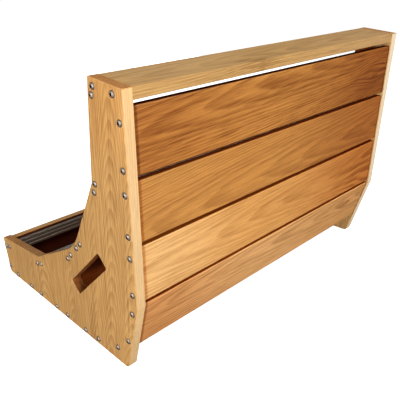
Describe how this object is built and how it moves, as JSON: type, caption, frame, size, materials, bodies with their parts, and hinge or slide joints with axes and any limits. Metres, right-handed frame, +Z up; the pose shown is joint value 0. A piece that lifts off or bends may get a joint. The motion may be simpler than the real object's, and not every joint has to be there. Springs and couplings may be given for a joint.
{
  "type": "module rack case",
  "caption": "Stepped wooden console case with shaped side panels, slatted back and floor, hand slots, and tilted rows of slotted rails for 3U modules.",
  "frame": {"origin": "bottom centre of the bounding box, on the floor midway between the side panels", "axes": "+X along the width, to the right of a user who faces the rows; +Y from the open front with the lowest row to the slatted back; +Z up"},
  "size_m": [0.6476, 0.471, 0.4451],
  "materials": {
    "panel_oak": "oiled light oak, grain along the panel's height",
    "slat_wood": "oiled reddish brown wood, grain along the slats",
    "rail_aluminium": "satin anodised",
    "strip_steel": "zinc plated",
    "screw_steel": "plain stainless steel"
  },
  "bodies": {
    "root": {"right_side_panel": "panel_oak", "left_side_panel": "panel_oak", "top_board": "panel_oak", "front_board": "panel_oak", "corner_strip": "panel_oak", "back_slat_1": "slat_wood", "back_slat_2": "slat_wood", "back_slat_3": "slat_wood", "back_slat_4": "slat_wood", "bottom_slat_1": "slat_wood", "bottom_slat_2": "slat_wood", "bottom_slat_3": "slat_wood", "bottom_slat_4": "slat_wood", "row_1_lower_rail": "rail_aluminium", "row_1_upper_rail": "rail_aluminium", "row_2_lower_rail": "rail_aluminium", "row_2_upper_rail": "rail_aluminium", "row_3_lower_rail": "rail_aluminium", "row_3_upper_rail": "rail_aluminium", "row_4_lower_rail": "rail_aluminium", "row_4_upper_rail": "rail_aluminium", "row_1_lower_threaded_strip": "strip_steel", "row_1_upper_threaded_strip": "strip_steel", "row_2_lower_threaded_strip": "strip_steel", "row_2_upper_threaded_strip": "strip_steel", "row_3_lower_threaded_strip": "strip_steel", "row_3_upper_threaded_strip": "strip_steel", "row_4_lower_threaded_strip": "strip_steel", "row_4_upper_threaded_strip": "strip_steel", "top_board_screws": "screw_steel", "front_board_screws": "screw_steel", "corner_strip_screws": "screw_steel", "back_slat_screws": "screw_steel", "bottom_slat_screws": "screw_steel", "rail_screws": "screw_steel"}
  },
  "joints": []
}
